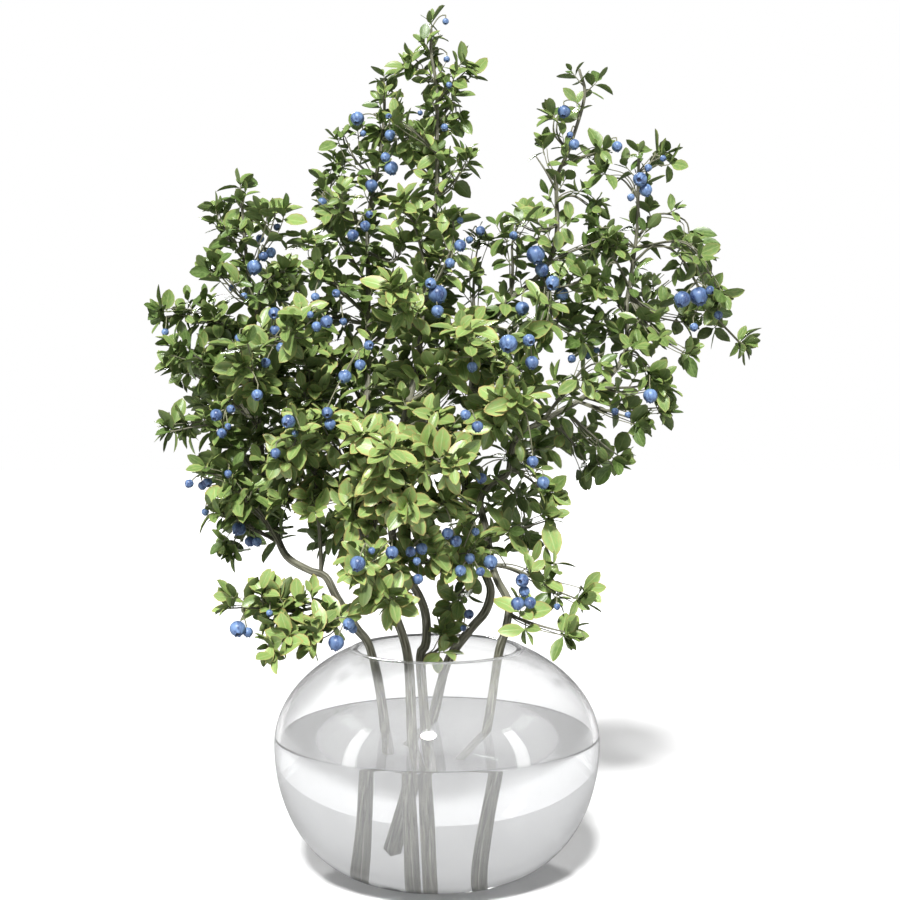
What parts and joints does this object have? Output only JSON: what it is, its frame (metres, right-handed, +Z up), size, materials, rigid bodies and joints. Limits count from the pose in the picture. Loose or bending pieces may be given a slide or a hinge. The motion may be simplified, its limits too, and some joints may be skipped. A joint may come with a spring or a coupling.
{
  "type": "blueberry branches in a glass bowl vase",
  "caption": "Leafy blueberry branches with ripe berries, standing in a round clear glass bowl vase half full of water.",
  "frame": {"origin": "centre of the flat underside of the vase's foot, on the surface it stands on", "axes": "+Z up along the vase's axis, -Y towards the front, +X to the right seen from the front"},
  "size_m": [0.607, 0.4, 0.814],
  "materials": {
    "glass": "clear, polished, faintly grey",
    "water": "clear and still",
    "bark": "rough grey-olive bark with pale streaks",
    "leaf": "satin green leaves, paler and yellower at the edges",
    "berry": "blue skin under a pale waxy bloom"
  },
  "bodies": {
    "root": {"vase": "glass", "water": "water", "left_branch_wood": "bark", "inner_left_branch_wood": "bark", "middle_branch_wood": "bark", "inner_right_branch_wood": "bark", "right_branch_wood": "bark", "left_branch_berries_low": "berry", "left_branch_berries_side": "berry", "left_branch_berries_middle": "berry", "left_branch_berries_top": "berry", "inner_left_branch_berries_side": "berry", "inner_left_branch_berries_middle": "berry", "inner_left_branch_berries_top": "berry", "middle_branch_berries_low": "berry", "middle_branch_berries_middle": "berry", "middle_branch_berries_top": "berry", "inner_right_branch_berries_side": "berry", "inner_right_branch_berries_top": "berry", "right_branch_berries_low": "berry", "right_branch_berries_far": "berry", "right_branch_berries_top": "berry", "left_branch_leaves_low": "leaf", "left_branch_leaves_inner": "leaf", "left_branch_leaves_lower": "leaf", "left_branch_leaves_side": "leaf", "left_branch_leaves_middle": "leaf", "left_branch_leaves_upper": "leaf", "left_branch_leaves_top": "leaf", "inner_left_branch_leaves_front": "leaf", "inner_left_branch_leaves_low": "leaf", "inner_left_branch_leaves_middle": "leaf", "inner_left_branch_leaves_upper": "leaf", "inner_left_branch_leaves_high": "leaf", "inner_left_branch_leaves_top": "leaf", "middle_branch_leaves_rim": "leaf", "middle_branch_leaves_low": "leaf", "middle_branch_leaves_front": "leaf", "middle_branch_leaves_middle": "leaf", "middle_branch_leaves_upper": "leaf", "middle_branch_leaves_high": "leaf", "middle_branch_leaves_crown": "leaf", "middle_branch_leaves_top": "leaf", "inner_right_branch_leaves_low": "leaf", "inner_right_branch_leaves_lower": "leaf", "inner_right_branch_leaves_middle": "leaf", "inner_right_branch_leaves_inner": "leaf", "inner_right_branch_leaves_upper": "leaf", "inner_right_branch_leaves_outer": "leaf", "inner_right_branch_leaves_high": "leaf", "inner_right_branch_leaves_top": "leaf", "right_branch_leaves_rim": "leaf", "right_branch_leaves_low": "leaf", "right_branch_leaves_lower": "leaf", "right_branch_leaves_middle": "leaf", "right_branch_leaves_outer": "leaf", "right_branch_leaves_upper": "leaf", "right_branch_leaves_far": "leaf", "right_branch_leaves_high": "leaf", "right_branch_leaves_top": "leaf"}
  },
  "joints": []
}
